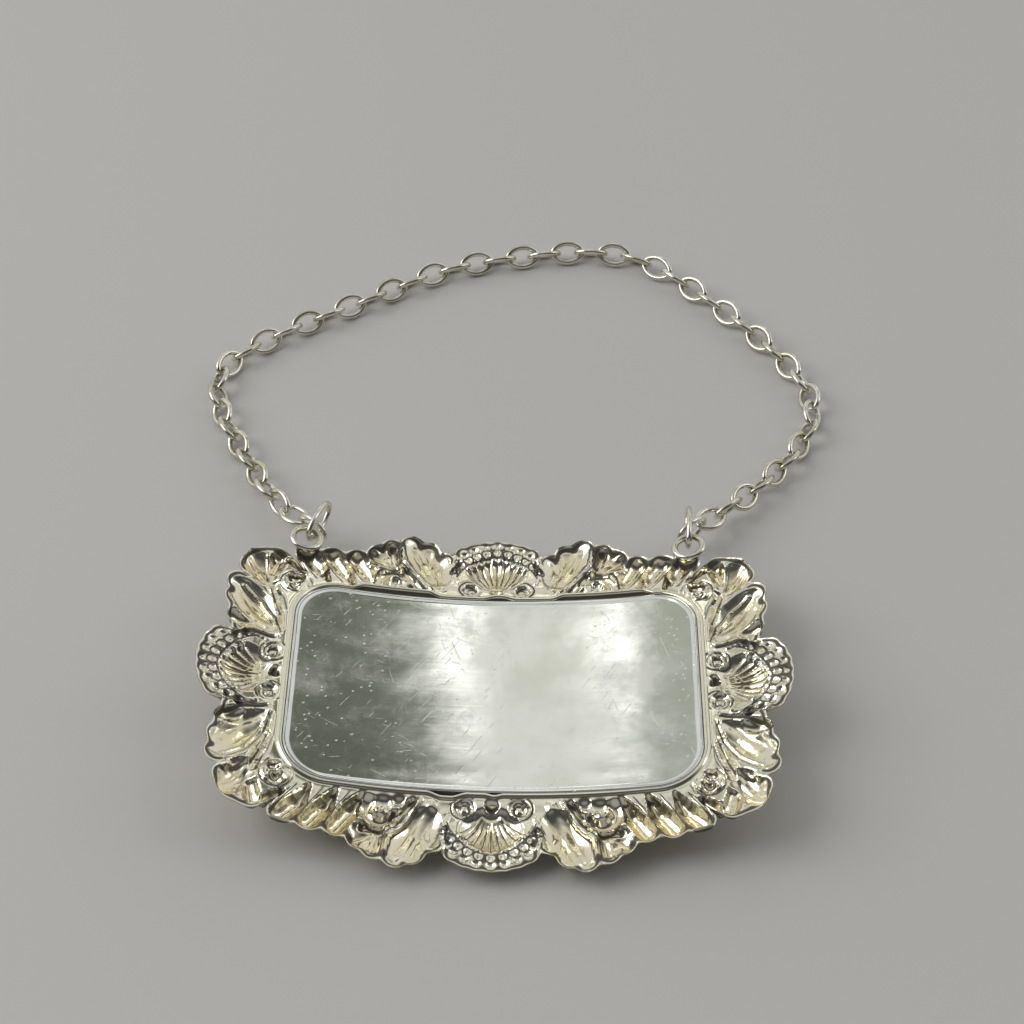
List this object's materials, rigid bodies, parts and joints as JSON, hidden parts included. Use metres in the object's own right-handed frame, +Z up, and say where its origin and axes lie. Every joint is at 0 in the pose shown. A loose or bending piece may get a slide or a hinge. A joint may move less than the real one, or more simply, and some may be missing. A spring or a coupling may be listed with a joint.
{
  "type": "wine label",
  "caption": "Curved silver bottle label with a stamped shell and gadroon border, a bare plaque and a cable chain that hangs it round the neck of a decanter.",
  "frame": {"origin": "on the table, under the middle of the plaque, where the label lies face down on its convex front", "axes": "+X along the label, +Y up the label towards the eyelets and the chain, +Z up from the table, out of the concave back"},
  "size_m": [0.0705, 0.0954, 0.0072],
  "materials": {
    "plaque_silver": "worn polished silver with fine scratches",
    "border_silver": "stamped silver, bright on the ridges and toned in the hollows",
    "wire_silver": "bright drawn silver wire"
  },
  "bodies": {
    "label": {"plaque": "plaque_silver", "border": "border_silver", "eyelet_left": "wire_silver", "eyelet_right": "wire_silver"},
    "end_ring_left": {"end_ring_left": "wire_silver"},
    "end_ring_right": {"end_ring_right": "wire_silver"},
    "link_01": {"link_01": "wire_silver"},
    "link_02": {"link_02": "wire_silver"},
    "link_03": {"link_03": "wire_silver"},
    "link_04": {"link_04": "wire_silver"},
    "link_05": {"link_05": "wire_silver"},
    "link_06": {"link_06": "wire_silver"},
    "link_07": {"link_07": "wire_silver"},
    "link_08": {"link_08": "wire_silver"},
    "link_09": {"link_09": "wire_silver"},
    "link_10": {"link_10": "wire_silver"},
    "link_11": {"link_11": "wire_silver"},
    "link_12": {"link_12": "wire_silver"},
    "link_13": {"link_13": "wire_silver"},
    "link_14": {"link_14": "wire_silver"},
    "link_15": {"link_15": "wire_silver"},
    "link_16": {"link_16": "wire_silver"},
    "link_17": {"link_17": "wire_silver"},
    "link_18": {"link_18": "wire_silver"},
    "link_19": {"link_19": "wire_silver"},
    "link_20": {"link_20": "wire_silver"},
    "link_21": {"link_21": "wire_silver"},
    "link_22": {"link_22": "wire_silver"},
    "link_23": {"link_23": "wire_silver"},
    "link_24": {"link_24": "wire_silver"},
    "link_25": {"link_25": "wire_silver"},
    "link_26": {"link_26": "wire_silver"},
    "link_27": {"link_27": "wire_silver"},
    "link_28": {"link_28": "wire_silver"},
    "link_29": {"link_29": "wire_silver"},
    "link_30": {"link_30": "wire_silver"},
    "link_31": {"link_31": "wire_silver"},
    "link_32": {"link_32": "wire_silver"},
    "link_33": {"link_33": "wire_silver"},
    "link_34": {"link_34": "wire_silver"},
    "link_35": {"link_35": "wire_silver"},
    "link_36": {"link_36": "wire_silver"},
    "link_37": {"link_37": "wire_silver"},
    "link_38": {"link_38": "wire_silver"},
    "link_39": {"link_39": "wire_silver"},
    "link_40": {"link_40": "wire_silver"},
    "link_41": {"link_41": "wire_silver"},
    "link_42": {"link_42": "wire_silver"},
    "link_43": {"link_43": "wire_silver"},
    "link_44": {"link_44": "wire_silver"},
    "link_45": {"link_45": "wire_silver"},
    "link_46": {"link_46": "wire_silver"},
    "link_47": {"link_47": "wire_silver"},
    "link_48": {"link_48": "wire_silver"},
    "link_49": {"link_49": "wire_silver"},
    "link_50": {"link_50": "wire_silver"},
    "link_51": {"link_51": "wire_silver"},
    "link_52": {"link_52": "wire_silver"}
  },
  "joints": [
    {"name": "chain_swing", "type": "hinge", "parent": "label", "child": "end_ring_left", "pos_m": [-0.01965, 0.02044, 0.00436], "axis": [1, 0, 0], "range_deg": [0, 105]},
    {"name": "end_ring_right_swing", "type": "hinge", "parent": "label", "child": "end_ring_right", "pos_m": [0.02025, 0.02044, 0.00436], "axis": [1, 0, 0], "range_deg": [0, 105]},
    {"name": "chain_sway", "type": "hinge", "parent": "end_ring_left", "child": "link_01", "pos_m": [-0.01883, 0.02131, 0.00295], "axis": [0, 0, 1], "range_deg": [-4, 4]},
    {"name": "link_02_turn", "type": "hinge", "parent": "link_01", "child": "link_02", "pos_m": [-0.02096, 0.02325, 0.00263], "axis": [0, 0, 1], "range_deg": [-4.08, 4.08]},
    {"name": "link_03_turn", "type": "hinge", "parent": "link_02", "child": "link_03", "pos_m": [-0.02298, 0.02531, 0.00232], "axis": [0, 0, 1], "range_deg": [-4.08, 4.08]},
    {"name": "link_04_turn", "type": "hinge", "parent": "link_03", "child": "link_04", "pos_m": [-0.02468, 0.02764, 0.00203], "axis": [0, 0, 1], "range_deg": [-4.08, 4.08]},
    {"name": "link_05_turn", "type": "hinge", "parent": "link_04", "child": "link_05", "pos_m": [-0.0261, 0.03015, 0.00173], "axis": [0, 0, 1], "range_deg": [-0.3264, 0.3264]},
    {"name": "link_06_turn", "type": "hinge", "parent": "link_05", "child": "link_06", "pos_m": [-0.0274, 0.03273, 0.00147], "axis": [0, 0, 1], "range_deg": [-0.3264, 0.3264]},
    {"name": "link_07_turn", "type": "hinge", "parent": "link_06", "child": "link_07", "pos_m": [-0.02867, 0.03533, 0.00126], "axis": [0, 0, 1], "range_deg": [-0.3264, 0.3264]},
    {"name": "link_08_turn", "type": "hinge", "parent": "link_07", "child": "link_08", "pos_m": [-0.02997, 0.03792, 0.00117], "axis": [0, 0, 1], "range_deg": [-0.3264, 0.3264]},
    {"name": "link_09_turn", "type": "hinge", "parent": "link_08", "child": "link_09", "pos_m": [-0.0312, 0.04054, 0.00115], "axis": [0, 0, 1], "range_deg": [-0.3264, 0.3264]},
    {"name": "link_10_turn", "type": "hinge", "parent": "link_09", "child": "link_10", "pos_m": [-0.03215, 0.04329, 0.00115], "axis": [0, 0, 1], "range_deg": [-0.3264, 0.3264]},
    {"name": "link_11_turn", "type": "hinge", "parent": "link_10", "child": "link_11", "pos_m": [-0.0327, 0.04613, 0.00114], "axis": [0, 0, 1], "range_deg": [-0.3264, 0.3264]},
    {"name": "link_12_turn", "type": "hinge", "parent": "link_11", "child": "link_12", "pos_m": [-0.03242, 0.04902, 0.00115], "axis": [0, 0, 1], "range_deg": [-1.54, 1.54]},
    {"name": "link_13_turn", "type": "hinge", "parent": "link_12", "child": "link_13", "pos_m": [-0.03096, 0.05152, 0.00115], "axis": [0, 0, 1], "range_deg": [-1.54, 1.54]},
    {"name": "link_14_turn", "type": "hinge", "parent": "link_13", "child": "link_14", "pos_m": [-0.02891, 0.05358, 0.00115], "axis": [0, 0, 1], "range_deg": [-1.54, 1.54]},
    {"name": "link_15_turn", "type": "hinge", "parent": "link_14", "child": "link_15", "pos_m": [-0.02669, 0.05545, 0.00115], "axis": [0, 0, 1], "range_deg": [-1.54, 1.54]},
    {"name": "link_16_turn", "type": "hinge", "parent": "link_15", "child": "link_16", "pos_m": [-0.02438, 0.05719, 0.00115], "axis": [0, 0, 1], "range_deg": [-1.54, 1.54]},
    {"name": "link_17_turn", "type": "hinge", "parent": "link_16", "child": "link_17", "pos_m": [-0.02198, 0.05882, 0.00115], "axis": [0, 0, 1], "range_deg": [-1.54, 1.54]},
    {"name": "link_18_turn", "type": "hinge", "parent": "link_17", "child": "link_18", "pos_m": [-0.01954, 0.0604, 0.00115], "axis": [0, 0, 1], "range_deg": [-1.54, 1.54]},
    {"name": "link_19_turn", "type": "hinge", "parent": "link_18", "child": "link_19", "pos_m": [-0.01711, 0.06197, 0.00115], "axis": [0, 0, 1], "range_deg": [-1.54, 1.54]},
    {"name": "link_20_turn", "type": "hinge", "parent": "link_19", "child": "link_20", "pos_m": [-0.01471, 0.0636, 0.00115], "axis": [0, 0, 1], "range_deg": [-1.54, 1.54]},
    {"name": "link_21_turn", "type": "hinge", "parent": "link_20", "child": "link_21", "pos_m": [-0.01233, 0.06526, 0.00115], "axis": [0, 0, 1], "range_deg": [-1.54, 1.54]},
    {"name": "link_22_turn", "type": "hinge", "parent": "link_21", "child": "link_22", "pos_m": [-0.00992, 0.06687, 0.00115], "axis": [0, 0, 1], "range_deg": [-1.54, 1.54]},
    {"name": "link_23_turn", "type": "hinge", "parent": "link_22", "child": "link_23", "pos_m": [-0.0074, 0.06831, 0.00115], "axis": [0, 0, 1], "range_deg": [-1.54, 1.54]},
    {"name": "link_24_turn", "type": "hinge", "parent": "link_23", "child": "link_24", "pos_m": [-0.00474, 0.06945, 0.00115], "axis": [0, 0, 1], "range_deg": [-1.54, 1.54]},
    {"name": "link_25_turn", "type": "hinge", "parent": "link_24", "child": "link_25", "pos_m": [-0.00198, 0.07035, 0.00115], "axis": [0, 0, 1], "range_deg": [-1.54, 1.54]},
    {"name": "link_26_turn", "type": "hinge", "parent": "link_25", "child": "link_26", "pos_m": [0.00083, 0.07108, 0.00115], "axis": [0, 0, 1], "range_deg": [-1.54, 1.54]},
    {"name": "link_52_turn", "type": "hinge", "parent": "end_ring_right", "child": "link_52", "pos_m": [0.0198, 0.02213, 0.00312], "axis": [0, 0, 1], "range_deg": [-3.57, 3.57]},
    {"name": "link_51_turn", "type": "hinge", "parent": "link_52", "child": "link_51", "pos_m": [0.0219, 0.02411, 0.00281], "axis": [0, 0, 1], "range_deg": [-3.57, 3.57]},
    {"name": "link_50_turn", "type": "hinge", "parent": "link_51", "child": "link_50", "pos_m": [0.02398, 0.0261, 0.00251], "axis": [0, 0, 1], "range_deg": [-3.57, 3.57]},
    {"name": "link_49_turn", "type": "hinge", "parent": "link_50", "child": "link_49", "pos_m": [0.026, 0.02816, 0.00221], "axis": [0, 0, 1], "range_deg": [-3.57, 3.57]},
    {"name": "link_48_turn", "type": "hinge", "parent": "link_49", "child": "link_48", "pos_m": [0.02791, 0.03032, 0.00192], "axis": [0, 0, 1], "range_deg": [-0.2852, 0.2852]},
    {"name": "link_47_turn", "type": "hinge", "parent": "link_48", "child": "link_47", "pos_m": [0.02975, 0.03255, 0.00164], "axis": [0, 0, 1], "range_deg": [-0.2852, 0.2852]},
    {"name": "link_46_turn", "type": "hinge", "parent": "link_47", "child": "link_46", "pos_m": [0.03149, 0.03485, 0.00138], "axis": [0, 0, 1], "range_deg": [-0.2852, 0.2852]},
    {"name": "link_45_turn", "type": "hinge", "parent": "link_46", "child": "link_45", "pos_m": [0.03307, 0.03728, 0.00121], "axis": [0, 0, 1], "range_deg": [-0.2852, 0.2852]},
    {"name": "link_44_turn", "type": "hinge", "parent": "link_45", "child": "link_44", "pos_m": [0.03443, 0.03984, 0.00116], "axis": [0, 0, 1], "range_deg": [-0.2852, 0.2852]},
    {"name": "link_43_turn", "type": "hinge", "parent": "link_44", "child": "link_43", "pos_m": [0.03546, 0.04255, 0.00115], "axis": [0, 0, 1], "range_deg": [-0.2852, 0.2852]},
    {"name": "link_42_turn", "type": "hinge", "parent": "link_43", "child": "link_42", "pos_m": [0.03589, 0.04542, 0.00114], "axis": [0, 0, 1], "range_deg": [-0.2852, 0.2852]},
    {"name": "link_41_turn", "type": "hinge", "parent": "link_42", "child": "link_41", "pos_m": [0.03538, 0.04827, 0.00115], "axis": [0, 0, 1], "range_deg": [-0.2852, 0.2852]},
    {"name": "link_40_turn", "type": "hinge", "parent": "link_41", "child": "link_40", "pos_m": [0.03426, 0.05095, 0.00115], "axis": [0, 0, 1], "range_deg": [-0.2852, 0.2852]},
    {"name": "link_39_turn", "type": "hinge", "parent": "link_40", "child": "link_39", "pos_m": [0.03285, 0.05348, 0.00115], "axis": [0, 0, 1], "range_deg": [-1.64, 1.64]},
    {"name": "link_38_turn", "type": "hinge", "parent": "link_39", "child": "link_38", "pos_m": [0.03129, 0.05593, 0.00115], "axis": [0, 0, 1], "range_deg": [-1.64, 1.64]},
    {"name": "link_37_turn", "type": "hinge", "parent": "link_38", "child": "link_37", "pos_m": [0.02961, 0.05829, 0.00115], "axis": [0, 0, 1], "range_deg": [-1.64, 1.64]},
    {"name": "link_36_turn", "type": "hinge", "parent": "link_37", "child": "link_36", "pos_m": [0.02781, 0.06057, 0.00115], "axis": [0, 0, 1], "range_deg": [-1.64, 1.64]},
    {"name": "link_35_turn", "type": "hinge", "parent": "link_36", "child": "link_35", "pos_m": [0.02592, 0.06277, 0.00115], "axis": [0, 0, 1], "range_deg": [-1.64, 1.64]},
    {"name": "link_34_turn", "type": "hinge", "parent": "link_35", "child": "link_34", "pos_m": [0.02397, 0.06491, 0.00115], "axis": [0, 0, 1], "range_deg": [-1.64, 1.64]},
    {"name": "link_33_turn", "type": "hinge", "parent": "link_34", "child": "link_33", "pos_m": [0.02198, 0.06702, 0.00115], "axis": [0, 0, 1], "range_deg": [-1.64, 1.64]},
    {"name": "link_32_turn", "type": "hinge", "parent": "link_33", "child": "link_32", "pos_m": [0.01989, 0.06904, 0.00115], "axis": [0, 0, 1], "range_deg": [-1.64, 1.64]},
    {"name": "link_31_turn", "type": "hinge", "parent": "link_32", "child": "link_31", "pos_m": [0.01759, 0.0708, 0.00115], "axis": [0, 0, 1], "range_deg": [-1.64, 1.64]},
    {"name": "link_30_turn", "type": "hinge", "parent": "link_31", "child": "link_30", "pos_m": [0.01496, 0.07202, 0.00115], "axis": [0, 0, 1], "range_deg": [-1.64, 1.64]},
    {"name": "link_29_turn", "type": "hinge", "parent": "link_30", "child": "link_29", "pos_m": [0.01211, 0.07256, 0.00115], "axis": [0, 0, 1], "range_deg": [-1.64, 1.64]},
    {"name": "link_28_turn", "type": "hinge", "parent": "link_29", "child": "link_28", "pos_m": [0.00921, 0.0726, 0.00115], "axis": [0, 0, 1], "range_deg": [-1.64, 1.64]},
    {"name": "link_27_turn", "type": "hinge", "parent": "link_28", "child": "link_27", "pos_m": [0.00633, 0.07224, 0.00115], "axis": [0, 0, 1], "range_deg": [-1.64, 1.64]}
  ],
  "couplings": [
    {"joint": "end_ring_right_swing", "follows": "chain_swing", "ratio": 1},
    {"joint": "link_02_turn", "follows": "chain_sway", "ratio": 1},
    {"joint": "link_03_turn", "follows": "chain_sway", "ratio": 1},
    {"joint": "link_04_turn", "follows": "chain_sway", "ratio": 1},
    {"joint": "link_05_turn", "follows": "chain_sway", "ratio": 0.08},
    {"joint": "link_06_turn", "follows": "chain_sway", "ratio": 0.08},
    {"joint": "link_07_turn", "follows": "chain_sway", "ratio": 0.08},
    {"joint": "link_08_turn", "follows": "chain_sway", "ratio": 0.08},
    {"joint": "link_09_turn", "follows": "chain_sway", "ratio": 0.08},
    {"joint": "link_10_turn", "follows": "chain_sway", "ratio": 0.08},
    {"joint": "link_11_turn", "follows": "chain_sway", "ratio": 0.08},
    {"joint": "link_12_turn", "follows": "chain_sway", "ratio": -0.3769},
    {"joint": "link_13_turn", "follows": "chain_sway", "ratio": -0.3769},
    {"joint": "link_14_turn", "follows": "chain_sway", "ratio": -0.3769},
    {"joint": "link_15_turn", "follows": "chain_sway", "ratio": -0.3769},
    {"joint": "link_16_turn", "follows": "chain_sway", "ratio": -0.3769},
    {"joint": "link_17_turn", "follows": "chain_sway", "ratio": -0.3769},
    {"joint": "link_18_turn", "follows": "chain_sway", "ratio": -0.3769},
    {"joint": "link_19_turn", "follows": "chain_sway", "ratio": -0.3769},
    {"joint": "link_20_turn", "follows": "chain_sway", "ratio": -0.3769},
    {"joint": "link_21_turn", "follows": "chain_sway", "ratio": -0.3769},
    {"joint": "link_22_turn", "follows": "chain_sway", "ratio": -0.3769},
    {"joint": "link_23_turn", "follows": "chain_sway", "ratio": -0.3769},
    {"joint": "link_24_turn", "follows": "chain_sway", "ratio": -0.3769},
    {"joint": "link_25_turn", "follows": "chain_sway", "ratio": -0.3769},
    {"joint": "link_26_turn", "follows": "chain_sway", "ratio": -0.3769},
    {"joint": "link_52_turn", "follows": "chain_sway", "ratio": 0.8741},
    {"joint": "link_51_turn", "follows": "chain_sway", "ratio": 0.8741},
    {"joint": "link_50_turn", "follows": "chain_sway", "ratio": 0.8741},
    {"joint": "link_49_turn", "follows": "chain_sway", "ratio": 0.8741},
    {"joint": "link_48_turn", "follows": "chain_sway", "ratio": 0.0699},
    {"joint": "link_47_turn", "follows": "chain_sway", "ratio": 0.0699},
    {"joint": "link_46_turn", "follows": "chain_sway", "ratio": 0.0699},
    {"joint": "link_45_turn", "follows": "chain_sway", "ratio": 0.0699},
    {"joint": "link_44_turn", "follows": "chain_sway", "ratio": 0.0699},
    {"joint": "link_43_turn", "follows": "chain_sway", "ratio": 0.0699},
    {"joint": "link_42_turn", "follows": "chain_sway", "ratio": 0.0699},
    {"joint": "link_41_turn", "follows": "chain_sway", "ratio": 0.0699},
    {"joint": "link_40_turn", "follows": "chain_sway", "ratio": 0.0699},
    {"joint": "link_39_turn", "follows": "chain_sway", "ratio": -0.4014},
    {"joint": "link_38_turn", "follows": "chain_sway", "ratio": -0.4014},
    {"joint": "link_37_turn", "follows": "chain_sway", "ratio": -0.4014},
    {"joint": "link_36_turn", "follows": "chain_sway", "ratio": -0.4014},
    {"joint": "link_35_turn", "follows": "chain_sway", "ratio": -0.4014},
    {"joint": "link_34_turn", "follows": "chain_sway", "ratio": -0.4014},
    {"joint": "link_33_turn", "follows": "chain_sway", "ratio": -0.4014},
    {"joint": "link_32_turn", "follows": "chain_sway", "ratio": -0.4014},
    {"joint": "link_31_turn", "follows": "chain_sway", "ratio": -0.4014},
    {"joint": "link_30_turn", "follows": "chain_sway", "ratio": -0.4014},
    {"joint": "link_29_turn", "follows": "chain_sway", "ratio": -0.4014},
    {"joint": "link_28_turn", "follows": "chain_sway", "ratio": -0.4014},
    {"joint": "link_27_turn", "follows": "chain_sway", "ratio": -0.4014}
  ]
}
